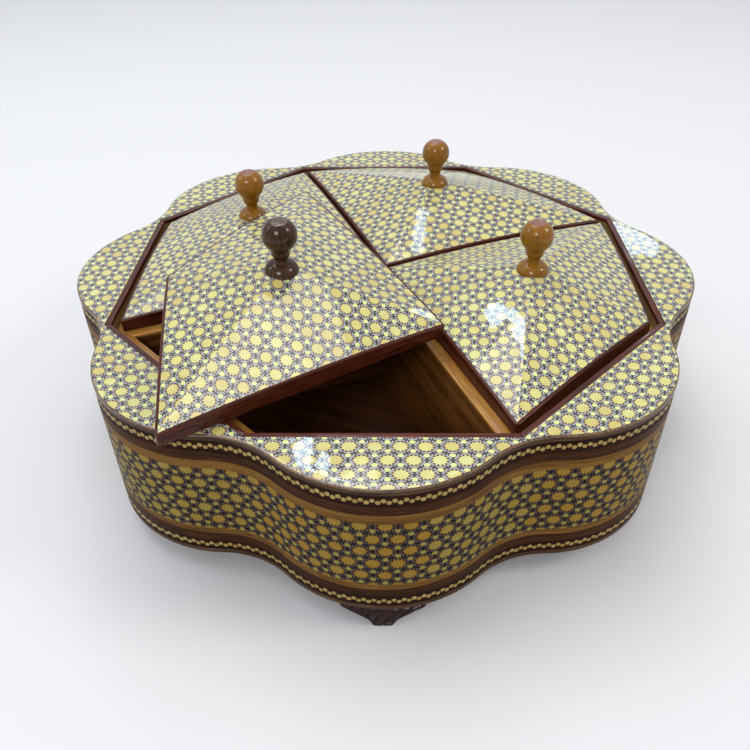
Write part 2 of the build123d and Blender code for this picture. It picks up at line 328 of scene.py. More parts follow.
def star_inlay(name, colours, pitch, squeeze, sheet=0.0, coat=1.0, base_ior=1.45):
    """Lacquered star sheet; its colours are star, dot, line, dark, red and warm."""
    star, dot, line, dark, red, warm = colours
    f = Finish(name)
    drawing, x, reach, angle, own = nearest_star(f, pitch, squeeze)
    fine = f.noise(drawing, 1.7, 3.0, 0.65)
    in_star, in_point, in_line, in_dot, in_black = star_masks(f, reach, angle, own, fine)
    if sheet:
        piece = f.math("FLOOR", f.math("DIVIDE", f.plus(x, 0.42 * sheet), sheet))
        tone = f.node("TexWhiteNoise", {"W": piece}, noise_dimensions="1D").outputs["Value"]
    else:
        tone = f.noise(drawing, 0.035, 2.0)
    streak_place = f.node("CombineXYZ", {"X": f.times(angle, streaks_around), "Y": f.times(own, 90.0)})
    streak = f.noise(streak_place.outputs[0], 1.0, 2.0)
    speck = f.noise(drawing, 3.2, 2.0, 0.7)
    yellow = f.mix(f.spread(own, 0.1, 0.9, 0.0, 0.5), star, dot)
    yellow = f.mix(f.spread(streak, 0.35, 0.75, 0.0, 0.45), yellow, warm)
    yellow = f.mix(f.spread(speck, 0.50, 0.72, 0.0, 0.55), yellow, f.mix(0.5, warm, line))
    yellow = f.mix(f.spread(tone, 0.42, 0.58, 0.0, 0.7), yellow, warm)
    colour = f.mix(f.spread(fine, 0.3, 0.75, 0.15, 0.7), dark, line)
    colour = f.mix(in_line, colour, f.mix(f.spread(fine, 0.35, 0.9, 0.0, 0.4), line, dark))
    colour = f.mix(in_black, colour, dark)
    colour = f.mix(in_star, colour, yellow)
    colour = f.mix(in_dot, colour, f.mix(f.spread(fine, 0.3, 0.7), dot, star))
    colour = f.mix(in_point, colour, red)

    ripple = f.times(f.noise(drawing, 0.14, 1.5, 0.5), 0.8)
    proud = f.times(f.math("MAXIMUM", in_star, in_dot), 0.02)
    normal = f.bump(f.plus(ripple, proud), 0.30, 0.0002)
    f.set(Base_Color=colour, Roughness=f.spread(fine, 0.2, 0.8, 0.3, 0.5), Normal=normal)
    f.set(Specular_IOR_Level=0.06 + 0.2 * coat, IOR=base_ior)
    f.set(Coat_Weight=coat, Coat_Roughness=lacquer_roughness, Coat_IOR=1.5, Coat_Normal=normal)
    return f.material


star_pitch = 8.25
row_squeeze = 1.134
pale_colours = (
    (0.66, 0.65, 0.20), (0.68, 0.76, 0.36), (0.43, 0.43, 0.44),
    (0.005, 0.004, 0.004), (0.10, 0.009, 0.004), (0.52, 0.41, 0.12),
)
lid_stars = star_inlay("lid_star_inlay", pale_colours, star_pitch, row_squeeze)
row_height = star_pitch * math.sqrt(3) / 2 / row_squeeze
print("star pitch", star_pitch, "mm on the lids, rows", round(row_height, 2), "mm apart")

# %% [markdown]
# ## Timber
#
# The strips, bands and boards are ordinary veneers and battens. Their grain runs along the strip, so the
# noise is stretched about thirty to one along the drawing: a slow figure, finer fibres over it, and
# short dark pores. Where a batten ends, a thin dark joint shows. A turned piece shows its end grain on
# top, which is redder and speckled with cut vessels. A thin coat of lacquer lies over it all.

# %% The timber finish
joint_colour = (0.02, 0.012, 0.008)
joint_width = 0.14


def timber(
    name, dark, middle, light, angle=None, gloss=0.5, coat_roughness=0.12, figure=0.5, joints=0.0,
    coat_ior=1.35, end_grain=None, end_from=0.0,
):
    """Wood with its grain along the drawing, or along a direction in plan where an angle is given."""
    f = Finish(name)
    if angle is None:
        flat = f.node("UVMap", uv_map="drawing").outputs[0]
    else:
        turn = {"Vector": f.node("TexCoord").outputs["Object"], "Angle": -math.radians(angle)}
        turned = f.node("VectorRotate", turn, rotation_type="Z_AXIS").outputs[0]
        flat = f.node("Mapping", {"Vector": turned, "Scale": (1 / millimetre,) * 3}).outputs[0]

    def grain(along, across, detail, roughness):
        stretched = f.node("Mapping", {"Vector": flat, "Scale": (along, across, across)}).outputs[0]
        return f.noise(stretched, 1.0, detail, roughness)

    bands = grain(0.012, 0.35, 3.0, 0.5)
    fibres = grain(0.07, 2.6, 4.0, 0.6)
    pores = grain(0.22, 4.5, 1.0, 0.4)
    colour = f.mix(f.spread(bands, 0.5 - figure / 4, 0.5 + figure / 4), dark, middle)
    colour = f.mix(f.spread(fibres, 0.45, 0.72, 0.0, 0.9), colour, light)
    colour = f.mix(f.spread(pores, 0.58, 0.70, 0.0, 0.6), colour, dark)
    if joints or end_grain:
        along = f.node("SeparateXYZ", {"Vector": flat}).outputs[0]
    if joints:
        off = f.math("ABSOLUTE", f.wrap(along, joints / 2))
        colour = f.mix(f.times(f.below(off, joint_width, soft=0.08), 0.7), colour, joint_colour)
    if end_grain:
        on_end = f.below(f.times(along, -1.0), -end_from, soft=0.1)
        vessels = f.noise(f.node("TexCoord").outputs["Object"], 1300.0, 2.0, 0.7)
        colour = f.mix(on_end, colour, f.mix(f.spread(vessels, 0.38, 0.62), *end_grain))
    normal = f.bump(f.plus(f.times(fibres, 0.5), f.noise(flat, 0.35, 2.0)), 0.3, 0.00012)
    f.set(Base_Color=colour, Roughness=f.spread(fibres, 0.3, 0.7, 0.35, 0.6), Normal=normal)
    f.set(Specular_IOR_Level=0.06 + 0.2 * gloss, IOR=1.3)
    f.set(Coat_Weight=gloss, Coat_Roughness=coat_roughness, Coat_IOR=coat_ior, Coat_Normal=normal)
    return f.material


lid_rosewood = timber(
    "rosewood_edging", (0.012, 0.002, 0.001), (0.055, 0.009, 0.004), (0.19, 0.042, 0.018),
    gloss=0.6, coat_roughness=0.06,
)
rim_rosewood = timber(
    "rim_rosewood", (0.014, 0.002, 0.001), (0.060, 0.009, 0.004), (0.20, 0.040, 0.017),
    gloss=0.8, coat_roughness=0.05,
)
print("rosewood for the lids' edging and a slightly redder one for the opening are ready")

# %% [markdown]
# ## The lobed wall in plan
#
# Eight convex arcs joined by eight shallow hollow ones. Every band, sheet and bead chain on the wall
# follows this one line, so it is walked once, and each station on it keeps its place, the way it faces
# and the distance walked. A piece set back from the wall steps inwards along the same facing.

# %% Walk the wall
side_count = 8
opening_corner = 125.0
rim_corner_width = 2.1
lobe_depth = 12.9
lobe_arc_share = 0.4154
step_angle = 360 / side_count
valley_reach = opening_corner + rim_corner_width
lobe_reach = valley_reach + lobe_depth
lobe_radius = lobe_arc_share * valley_reach
lobe_centre = lobe_reach - lobe_radius
half_cos = math.cos(math.radians(step_angle / 2))
valley_radius = (
    lobe_centre**2 + valley_reach**2 - 2 * lobe_centre * valley_reach * half_cos - lobe_radius**2
) / (2 * (lobe_radius - valley_reach + lobe_centre * half_cos))
valley_centre = valley_reach + valley_radius
lobe_stations = 28
valley_stations = 12


def polar(reach, angle, height=0.0):
    """Point at a distance from the middle, in the direction of an angle in degrees."""
    turn = math.radians(angle)
    return Vector((reach * math.cos(turn), reach * math.sin(turn), height))


def up(height):
    return Vector((0, 0, height))


def walk_wall():
    """Stations around the wall: place, facing and distance walked, starting at the right lobe."""
    tip_to_valley = polar(valley_centre, step_angle / 2) - polar(lobe_centre, 0)
    lobe_half = math.degrees(math.atan2(tip_to_valley.y, tip_to_valley.x))
    stations = []
    for k in range(side_count):
        middle = polar(lobe_centre, k * step_angle)
        for i in range(lobe_stations):
            facing = polar(1.0, k * step_angle - lobe_half + 2 * lobe_half * i / lobe_stations)
            stations.append((middle + facing * lobe_radius, facing))
        hollow = polar(valley_centre, (k + 0.5) * step_angle)
        for i in range(valley_stations):
            turn = k * step_angle + lobe_half + (step_angle - 2 * lobe_half) * i / valley_stations
            facing = polar(1.0, turn)
            stations.append((hollow - facing * valley_radius, facing))
    stations.append(stations[0])
    walked = 0.0
    line = []
    before = stations[0][0]
    for place, facing in stations:
        walked += (place - before).length
        before = place
        line.append((place, facing, walked))
    return line


wall_line = walk_wall()
wall_length = wall_line[-1][2]
print("the wall is", round(wall_length, 1), "mm around")

# %% [markdown]
# ## Bands around the wall
#
# A band is a small section, drawn as setback and height, swept around the wall. Its drawing is simply
# the distance walked and the distance around the section, so wood grain runs along it. The heights of
# the bands add up from the top and from the bottom, and the stars get what is left between them.

# %% Sweep a section around the wall
def swept_band(section):
    """A closed section of (setback, height) swept around the wall."""
    bench = Bench()
    loop = section + section[:1]
    rows = []
    drawings = []
    travelled = loop[0][1]
    before = loop[0]
    for setback, height in loop:
        travelled += math.hypot(setback - before[0], height - before[1])
        before = (setback, height)
        rows.append([place - facing * setback + up(height) for place, facing, walked in wall_line])
        drawings.append([(walked, travelled) for place, facing, walked in wall_line])
    bench.grid(rows, drawings)
    return bench


def band_section(bottom, top, setback=0.0, depth=1.0, ease=0.12):
    """Section of a band with slightly eased edges, from the lower back edge round by the front."""
    return [
        (depth, bottom), (setback + ease, bottom), (setback, bottom + ease),
        (setback, top - ease), (setback + ease, top), (depth, top),
    ]


wall_bottom = 11.0
wall_top = 74.0
veneer = 0.8
upper_bands = {
    "top_lipping": 1.8, "upper_bead_band": 5.4, "upper_brown_band": 4.1, "upper_light_band": 4.2,
}
lower_bands = {
    "base_lipping": 2.0, "lower_bead_band": 5.5, "lower_brown_band": 4.2, "lower_light_band": 2.9,
}
heights = {}
high = wall_top - veneer
for band, size in upper_bands.items():
    heights[band] = (high - size, high)
    high -= size
low = wall_bottom
for band, size in lower_bands.items():
    heights[band] = (low, low + size)
    low += size
star_band = (low, high)
print("bands from", wall_bottom, "to", wall_top - veneer, "mm, with the stars from", star_band)

# %% [markdown]
# The bands differ in wood: olive-brown lipping, a very dark ground for the beads, red-brown and
# straw-coloured strips beside the stars. The joints between the strips show as faint lines where two
# lengths of veneer meet. The walls of the real box shine less than its top, so their coat is thin.

# %% Make the bands
lengths_of_veneer = 6
joint_spacing = wall_length / lengths_of_veneer
bead_setback = 0.16
band_wood = {
    "lipping": timber(
        "olive_lipping", (0.028, 0.010, 0.003), (0.070, 0.030, 0.008), (0.16, 0.085, 0.026),
        gloss=0.4, joints=joint_spacing,
    ),
    "bead_band": timber(
        "bead_ground", (0.008, 0.002, 0.001), (0.020, 0.006, 0.003), (0.05, 0.015, 0.006), gloss=0.08,
    ),
    "brown_band": timber(
        "brown_band_wood", (0.014, 0.005, 0.002), (0.048, 0.016, 0.004), (0.11, 0.042, 0.011),
        gloss=0.08, joints=joint_spacing,
    ),
    "light_band": timber(
        "light_band_wood", (0.085, 0.035, 0.007), (0.18, 0.085, 0.018), (0.29, 0.155, 0.038),
        gloss=0.08, joints=joint_spacing,
    ),
}
for band, (bottom, top) in heights.items():
    kind = band.split("_", 1)[1]
    section = band_section(bottom, top, bead_setback if kind == "bead_band" else 0.0)
    swept_band(section).finished(band + "_strip", "box", kind, [band_wood[kind]], [band])

# %% [markdown]
# The star sheet on the wall is the same inlay with darker, golden colours: its lacquer has yellowed, more
# of the dark wood shows, and part of the darkness is painted shade, since the walls face away from the
# lamps behind the box. It was laid in short lengths that differ in tone, so each length draws its own
# tone. The pitch is adjusted a little, so that a whole number of stars goes round.

# %% Make the star sheet of the wall
wanted_pitch = 8.7
wall_pitch = wall_length / round(wall_length / wanted_pitch)
wall_squeeze = 1.177
wall_sheets = 40
sheet_length = wall_length / wall_sheets
# Darker copies of the pale colours: the wall sheets' own golden tone with painted shade mixed in.
wall_colours_with_painted_shade = (
    (0.29, 0.21, 0.036), (0.31, 0.27, 0.08), (0.105, 0.080, 0.074),
    (0.003, 0.001, 0.001), (0.035, 0.005, 0.003), (0.29, 0.155, 0.020),
)
wall_stars_with_painted_shade = star_inlay(
    "wall_star_inlay", wall_colours_with_painted_shade, wall_pitch, wall_squeeze, sheet=sheet_length, coat=0.06, base_ior=1.25,
)
swept_band(band_section(*star_band)).finished(
    "wall_star_sheet", "box", "wall_star_inlay", [wall_stars_with_painted_shade], ["wall_inlay"]
)
print("stars around the wall:", round(wall_length / wall_pitch))

# %% [markdown]
# ## Chains of beads
#
# Two chains of pale round beads are let into the dark bands. Neighbouring beads stand a little higher
# and lower in turn, like links, and touch each other. They look like the ends of thin rods, rounded over
# by the lacquer. A bump could fake them, but their edges would stay flat against the light. So each one
# is a low dome of its own, set along the wall line, with small differences in size and place.

# %% Set the beads
bead_radius = 0.97
bead_sway = 0.45
bead_sides = 12
bead_rings = ((1.0, bead_setback + 0.05), (0.92, bead_setback - 0.07), (0.55, 0.035))
pair_spacing = 3.7
bead_count = 2 * round(wall_length / pair_spacing)
bead_sizes = (0.94, 1.04)
bead_stray = 0.08
bead_order = random.Random(3)


def station_at(distance):
    """Place and facing at a distance along the wall."""
    after = bisect.bisect_right(wall_line, distance, key=lambda station: station[2])
    first, second = wall_line[after - 1], wall_line[after]
    share = (distance - first[2]) / (second[2] - first[2])
    return first[0].lerp(second[0], share), first[1].lerp(second[1], share).normalized()


def bead_chain(height):
    """Domes along the wall, each of three rings and a flat top."""
    bench = Bench()
    for k in range(bead_count):
        place, facing = station_at((k + 0.5) * wall_length / bead_count)
        side = Vector((-facing.y, facing.x, 0))
        sway = bead_sway if k % 2 else -bead_sway
        middle = place + up(height + sway + bead_order.uniform(-bead_stray, bead_stray))
        size = bead_radius * bead_order.uniform(*bead_sizes)
        rings = []
        places = []
        for j, (share, depth) in enumerate(bead_rings):
            turns = [2 * math.pi * i / bead_sides for i in range(bead_sides + 1)]
            reach = size * share
            spokes = [side * (reach * math.cos(t)) + up(reach * math.sin(t)) for t in turns]
            rings.append([middle + spoke - facing * depth for spoke in spokes])
            places.append([(k * 7.3 + i * 0.2, height + j) for i in range(bead_sides + 1)])
        bench.grid(rings, places)
        bench.face(rings[-1][:-1], places[-1][:-1])
    return bench


def bead_finish():
    """Pale wood that differs from bead to bead, with a fine grain."""
    f = Finish("pale_bead")
    own = f.node("NewGeometry").outputs["Random Per Island"]
    grain = f.noise(f.node("TexCoord").outputs["Object"], 2600.0, 2.0)
    colour = f.mix(own, (0.32, 0.20, 0.045), (0.44, 0.32, 0.10))
    colour = f.mix(f.spread(grain, 0.4, 0.75, 0.0, 0.5), colour, (0.30, 0.18, 0.05))
    f.set(Base_Color=colour, Roughness=0.4, Specular_IOR_Level=0.15, Coat_Weight=0.15, Coat_Roughness=0.1)
    return f.material


pale_bead = bead_finish()
for side in ("upper", "lower"):
    chain = bead_chain(sum(heights[side + "_bead_band"]) / 2)
    chain.finished(side + "_bead_chain", "box", "bead_band", [pale_bead])
print("beads in each chain:", bead_count)

# %% [markdown]
# ## The rim
#
# Eight panels of star sheet lie flat between the opening and the lobes, mitred at the corners. Each was
# cut with its rows of stars along the opening. Only the front panel's stars can be placed, so the
# others start wherever the random draw puts them. The outer edge is eased, and the cut edge of the sheet
# shows as a thin orange-brown line above the lipping.

# %% Find the wall's reach in any direction
opening_outer = opening_corner * half_cos
strip_width = 2.5
opening_inner = opening_outer - strip_width


def wall_reach(angle):
    """Distance from the middle to the wall's outside in a direction, and the way the wall faces there."""
    from_lobe = (angle + step_angle / 2) % step_angle - step_angle / 2
    turn = math.radians(from_lobe)
    share = lobe_radius / (lobe_radius + valley_radius)
    junction = polar(lobe_centre, 0).lerp(polar(valley_centre, step_angle / 2), share)
    if abs(turn) <= math.atan2(junction.y, junction.x):
        across = lobe_centre * math.sin(turn)
        reach = lobe_centre * math.cos(turn) + math.sqrt(lobe_radius**2 - across**2)
        facing = polar(reach, angle) - polar(lobe_centre, angle - from_lobe)
    else:
        gap = math.radians(step_angle / 2) - abs(turn)
        across = valley_centre * math.sin(gap)
        reach = valley_centre * math.cos(gap) - math.sqrt(valley_radius**2 - across**2)
        hollow = angle - from_lobe + math.copysign(step_angle / 2, from_lobe)
        facing = polar(valley_centre, hollow) - polar(reach, angle)
    return reach, facing.normalized()


print("the wall reaches", round(wall_reach(0)[0], 1), "mm at a lobe")

# %% [markdown]
# Each panel is a grid from the opening's edge to the wall, with extra rows over the eased edge and down
# to the underside. The top takes the star finish and the edge takes the wood of the cut sheet.

# %% Lay the rim panels
rim_pitch = 8.6
rim_squeeze = 1.146
rim_stars = star_inlay("rim_star_inlay", pale_colours, rim_pitch, rim_squeeze)
edge_wood = timber(
    "rim_edge_wood", (0.05, 0.018, 0.005), (0.13, 0.055, 0.014), (0.30, 0.16, 0.05),
    gloss=1.0, coat_roughness=0.04, coat_ior=1.6,
)
row_offset = 4.4
front_panel = 6
front_phase = -2.6
largest_rise = 1.5
panel_columns = 56
panel_rows = 8
edge_ease = 0.6


def rim_panels():
    bench = Bench()
    slide = random.Random(11)
    ease = edge_ease * (1 - math.sqrt(0.5))
    for k in range(side_count):
        middle = k * step_angle
        along = polar(1.0, middle + 90)
        outward = polar(1.0, middle)
        phase, rise = front_phase, 0.0
        if k != front_panel:
            phase = slide.uniform(-rim_pitch / 2, rim_pitch / 2)
            rise = slide.uniform(-largest_rise, largest_rise)
        columns = []
        for i in range(panel_columns + 1):
            angle = middle - step_angle / 2 + step_angle * i / panel_columns
            reach, facing = wall_reach(angle)
            inner = polar(opening_outer / math.cos(math.radians(angle - middle)), angle)
            edge = polar(reach, angle)
            outer = edge - facing * edge_ease
            column = [inner.lerp(outer, j / panel_rows) + up(wall_top) for j in range(panel_rows + 1)]
            column.append(edge - facing * ease + up(wall_top - ease))
            column.append(edge + up(wall_top - edge_ease))
            column.append(edge + up(wall_top - veneer))
            column.append(inner + up(wall_top - veneer))
            column.append(inner + up(wall_top))
            columns.append(column)
        rows = [list(row) for row in zip(*columns)]

        def on_sheet(point):
            return point.dot(along) - phase, point.dot(outward) - opening_outer - row_offset - rise

        def on_edge(point):
            return point.dot(along), point.z + point.dot(outward)

        bench.grid(rows[: panel_rows + 1], on_sheet)
        bench.grid(rows[panel_rows:], on_edge, finish=1)
    return bench


rim_panels().finished("rim_star_panels", "box", "star_inlay", [rim_stars, edge_wood], ["rim_inlay"])

# %% [markdown]
# ## Battens
#
# The strips around the opening, the caps of the ledge and of the dividers are short battens with their
# top edges eased by hand. A bevel modifier would round every edge alike, also the mitres, which must
# stay tight. So one function makes them all: it draws the plan in, step by step, and rounds the top over.

# %% Cut a batten
ease_steps = 4


def drawn_in(plan, distance):
    """A convex plan moved inwards on every side."""
    moved = []
    for k, here in enumerate(plan):
        first = (here - plan[k - 1]).normalized()
        second = (plan[(k + 1) % len(plan)] - here).normalized()
        first_in = Vector((-first.y, first.x, 0))
        second_in = Vector((-second.y, second.x, 0))
        moved.append(here + (first_in + second_in) / (1 + first_in.dot(second_in)) * distance)
    return moved


def batten(plan, bottom, top, ease, grain, bench, offset=0.0):
    """A batten with eased top edges; the plan runs anticlockwise and the grain runs along a direction."""
    across = Vector((-grain.y, grain.x, 0))
    rings = [[point + up(bottom) for point in plan]]
    for i in range(ease_steps + 1):
        turn = math.pi / 2 * i / ease_steps
        height = up(top - ease + ease * math.sin(turn))
        rings.append([point + height for point in drawn_in(plan, ease * (1 - math.cos(turn)))])

    def on_side(point):
        return point.dot(grain) + offset, point.z + offset * 3

    def on_top(point):
        return point.dot(grain) + offset, point.dot(across) + offset * 3

    bench.grid([ring + ring[:1] for ring in rings], on_side)
    bench.face(rings[-1], on_top)
    bench.face(rings[0][::-1], on_top)


print("a batten's edge is eased in", ease_steps, "steps")

# %% [markdown]
# The strips around the opening are rosewood, flush with the rim, and the pale ledge that the lids rest
# on lies six millimetres lower. Eight mitred battens go around each, and every batten starts at another
# place in the grain, so that no two look alike.

# %% Set the strips and the ledge
strip_depth = 2.0
strip_ease = 0.55
cap_ease = 0.35
ledge_top = 68.0
cap_thickness = 1.2
cap_bottom = ledge_top - cap_thickness
ledge_width = 5.5
lining_inner = opening_inner - ledge_width
strip_shift = 31.0
cap_shift = 17.0
cap_wood = timber(
    "cap_wood", (0.28, 0.11, 0.018), (0.50, 0.22, 0.04), (0.66, 0.36, 0.09), gloss=1.0, coat_roughness=0.05,
)


def octagon_side(k, outer, inner):
    """Plan of one mitred piece of an octagonal frame."""
    corners = ((outer, k - 0.5), (outer, k + 0.5), (inner, k + 0.5), (inner, k - 0.5))
    return [polar(reach / half_cos, side * step_angle) for reach, side in corners]


strips = Bench()
caps = Bench()
for k in range(side_count):
    grain = polar(1.0, k * step_angle + 90)
    strip_plan = octagon_side(k, opening_outer, opening_inner)
    cap_plan = octagon_side(k, opening_inner, lining_inner)
    batten(strip_plan, wall_top - strip_depth, wall_top, strip_ease, grain, strips, k * strip_shift)
    batten(cap_plan, cap_bottom, ledge_top, cap_ease, grain, caps, k * cap_shift)
strips.finished("opening_strips", "box", "rosewood", [rim_rosewood], ["rim_strips"])
caps.finished("ledge_cap_battens", "box", "beech", [cap_wood], ["ledge_caps"])

# %% [markdown]
# The caps of the two dividers are battens as well. One runs from corner to corner of the octagon and is
# pointed at both ends, and two short ones meet it in the middle.

# %% Set the divider caps
divider_thickness = 7.7
long_angle = 22.5


def divider_plan(angle, start=None):
    """Plan of a divider's cap, pointed at each end that meets a corner, or cut square at a start."""
    along, across = polar(1.0, angle), polar(1.0, angle + 90)
    half = divider_thickness / 2
    corner = lining_inner / half_cos
    shoulder = corner - half * math.tan(math.radians(step_angle / 2))
    plan = [(shoulder, -half), (corner, 0.0), (shoulder, half)]
    if start is None:
        plan += [(-shoulder, half), (-corner, 0.0), (-shoulder, -half)]
    else:
        plan += [(start, half), (start, -half)]
    return [along * reach + across * aside for reach, aside in plan]


long_cap = Bench()
batten(divider_plan(long_angle), cap_bottom, ledge_top, cap_ease, polar(1.0, long_angle), long_cap)
long_cap.finished("long_divider_cap", "box", "beech", [cap_wood], ["divider_cap_long"])
cross_caps = Bench()
for angle in (long_angle + 90, long_angle + 270):
    plan = divider_plan(angle, divider_thickness / 2)
    batten(plan, cap_bottom, ledge_top, cap_ease, polar(1.0, angle), cross_caps, angle)
cross_caps.finished("cross_divider_caps", "box", "beech", [cap_wood], ["divider_caps_cross"])

# %% [markdown]
# ## Inside the well
#
# The boards inside keep the shapes of the imported model. They only need wood whose grain runs the right
# way: along each lining board and divider, and across the floor. The inner face of the wall above the
# ledge is a paler wood, and its olive colour is partly painted shade of the recess it lies in. Boards
# that face each other share their material.

# %% Finish the boards inside
directions = ("right", "back_right", "back", "back_left", "left", "front_left", "front", "front_right")


def dress(node, material):
    """Gives a carried-over piece its finish."""
    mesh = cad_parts[node].data
    if not mesh.materials:
        mesh.materials.append(material)
    for index in range(len(mesh.materials)):
        mesh.materials[index] = material


dark_board = []
block_wood = []
for angle in (0, 45, 90, 135):
    dark_board.append(timber(
        f"dark_board_{angle}", (0.045, 0.013, 0.004), (0.13, 0.042, 0.010), (0.24, 0.090, 0.025),
        angle=angle + 90, coat_roughness=0.25,
    ))
    # Pale wood of the wall's inner face, darkened to olive by painted shade of the recess.
    block_wood.append(timber(
        f"block_wood_{angle}", (0.17, 0.12, 0.035), (0.27, 0.20, 0.07), (0.40, 0.31, 0.13),
        angle=angle + 90, coat_roughness=0.2,
    ))
for k, name in enumerate(directions):
    dress(f"wall_block_{name}", block_wood[k % 4])
    dress(f"lining_board_{name}", dark_board[k % 4])
floor_board = timber(
    "floor_board", (0.030, 0.009, 0.004), (0.085, 0.028, 0.010), (0.17, 0.065, 0.022),
    angle=-long_angle, coat_roughness=0.25,
)
dress("bottom_board", floor_board)
for node, angle in (("divider_long", long_angle), ("divider_cross", long_angle + 90)):
    divider_wood = timber(
        node + "_wood", (0.065, 0.021, 0.005), (0.20, 0.072, 0.016), (0.36, 0.155, 0.038),
        angle=angle, coat_roughness=0.25,
    )
    dress(node, divider_wood)
print("boards dressed:", 2 * len(directions) + 3)

# %% [markdown]
# ## Lids
#
# Each lid is a kite in plan, with a low pyramid of four slightly crowned facets. The crown is part of a
# big cylinder lying along the facet, and the lacquer softens the ridges between the facets, so that
# they catch the light. Four flat facets would be easier, but each would mirror the light all at once.
# So the height of the lid at any point is the lowest of the four cylinders, blended a little where two
# are nearly equal.

# %% Plan of a lid and its four facets
inner_gap = 0.8
rim_gap = 2.8
side_middle = 7.2
crown = 2.0
apex_height = 20.3
knob_distance = 68.0
lid_outer = opening_inner - rim_gap


def kite(inset):
    """The four corners of a lid's plan, from the inner one anticlockwise, drawn in by an inset."""
    root = (inner_gap + inset) * math.sqrt(2)
    lean = math.radians(step_angle / 2)
    outer = lid_outer - inset
    side_x = (outer + root * math.sin(lean)) / (math.cos(lean) + math.sin(lean))
    side_y = side_x - root
    corners = ((root, 0), (side_x, -side_y), (outer / math.cos(lean), 0), (side_x, side_y))
    return [Vector((x, y, 0)) for x, y in corners]


def facet_frames():
    """For each facet: a point on its cylinder's axis, the slope, the radius, and the drawing's axes."""
    corners = kite(0)
    frames = []
    for start, end in zip(corners, corners[1:] + corners[:1]):
        low = (start + end) / 2 + up(side_middle)
        slope = (Vector((knob_distance, 0, apex_height)) - low).normalized()
        along = (end - start).normalized()
        outward = slope.cross(along).normalized()
        if outward.z < 0:
            outward.negate()
        reach = (end - start).length / 2 * abs(along.dot(outward.cross(slope)))
        drop = crown * outward.z
        radius = (reach**2 + drop**2) / (2 * drop)
        inward = outward.cross(along)
        if inward.dot(slope) < 0:
            inward.negate()
        frames.append((low - outward * radius, slope, radius, low, along, inward))
    return frames


lid_facets = facet_frames()
print("radii of the facets:", [round(facet[2]) for facet in lid_facets], "mm")

# %% [markdown]
# The height at a point of the plan comes from where a plumb line meets each cylinder. Sheet and edging
# both ask it, so they always agree. Shaping a block with boolean cuts would leave the ridges hard.

# %% Height of a lid at any point
ridge_softness = 0.05


def lid_height(x, y):
    """Height of the lid's top above its underside at a point of the plan."""
    levels = []
    for axis_point, slope, radius, *_ in lid_facets:
        start = Vector((x, y, 0)) - axis_point
        flat_start = start - slope * start.dot(slope)
        flat_up = up(1) - slope * slope.z
        a = flat_up.dot(flat_up)
        b = 2 * flat_start.dot(flat_up)
        c = flat_start.dot(flat_start) - radius**2
        levels.append((-b + math.sqrt(max(b * b - 4 * a * c, 0))) / (2 * a))
    lowest = min(levels)
    total = sum(math.exp((lowest - level) / ridge_softness) for level in levels)
    return lowest - ridge_softness * math.log(total)


def on_lid(point):
    """The point of the lid's top above a point of the plan."""
    return Vector((point.x, point.y, lid_height(point.x, point.y)))


print("lid height under the knob:", round(lid_height(knob_distance, 0), 2))

# %% [markdown]
# Each facet's sheet is a fan of rays from the edge up to the knob, closer together near the ridges where
# the surface turns. A square grid would cut across the ridges and leave them jagged. The maker cut the
# four sheets of a lid with their rows of stars in different directions, so each facet turns its drawing,
# and slides it to another place.

# %% Cut the star sheets of a lid
edging_width = 1.2
inlay_depth = 0.8
knob_base = 6.8
knob_clearance = 0.02
column_shares = [0, 0.003, 0.006, 0.010, 0.016, 0.026, 0.045, 0.08, 0.13, 0.19, 0.26, 0.34, 0.42]
column_shares += [0.5] + [1 - s for s in reversed(column_shares)]
ray_rows = 26
ray_crowding = 0.9


def lid_sheet(turns, slides):
    """The four facets of star sheet on one lid, each with the turn and slide of its rows of stars."""
    bench = Bench()
    corners = kite(edging_width)
    middle = polar(knob_distance, 0)
    for k, (start, end) in enumerate(zip(corners, corners[1:] + corners[:1])):
        low, along, inward = lid_facets[k][3:]
        turn = math.radians(turns[k])
        edges = [start.lerp(end, share) for share in column_shares]
        rays = [middle - edge for edge in edges]
        whole = [1 - (knob_base + knob_clearance) / ray.length for ray in rays]
        rows = []
        for j in range(ray_rows + 1):
            share_in = (j / ray_rows) ** ray_crowding
            rows.append([on_lid(edge + ray * (share_in * w)) for edge, ray, w in zip(edges, rays, whole)])

        def on_sheet(point):
            u = (point - low).dot(along)
            v = (point - low).dot(inward)
            return (
                u * math.cos(turn) + v * math.sin(turn) + slides[k][0],
                v * math.cos(turn) - u * math.sin(turn) + slides[k][1],
            )

        bench.grid(rows, on_sheet)
        bench.grid([rows[0], [point - up(inlay_depth) for point in rows[0]]], on_sheet)
    return bench


print("points across a facet:", len(column_shares))

# %% [markdown]
# The edging is one strip, swept around the kite with slightly rounded corners. Each line of its section
# says how far in it runs, how high, and whether that is measured from the crowned top.

# %% Cut the edging of a lid
corner_round = 1.2
corner_steps = 4
side_steps = 26
edging_section = (
    (1.2, 0.0, False), (0.25, 0.0, False), (0.0, 0.25, False), (0.0, -0.45, True),
    (0.05, -0.22, True), (0.16, -0.08, True), (0.4, 0.0, True), (1.2, 0.0, True),
)


def outward_of(start, end):
    """The way out from a side of an anticlockwise plan."""
    side = (end - start).normalized()
    return Vector((side.y, -side.x, 0))


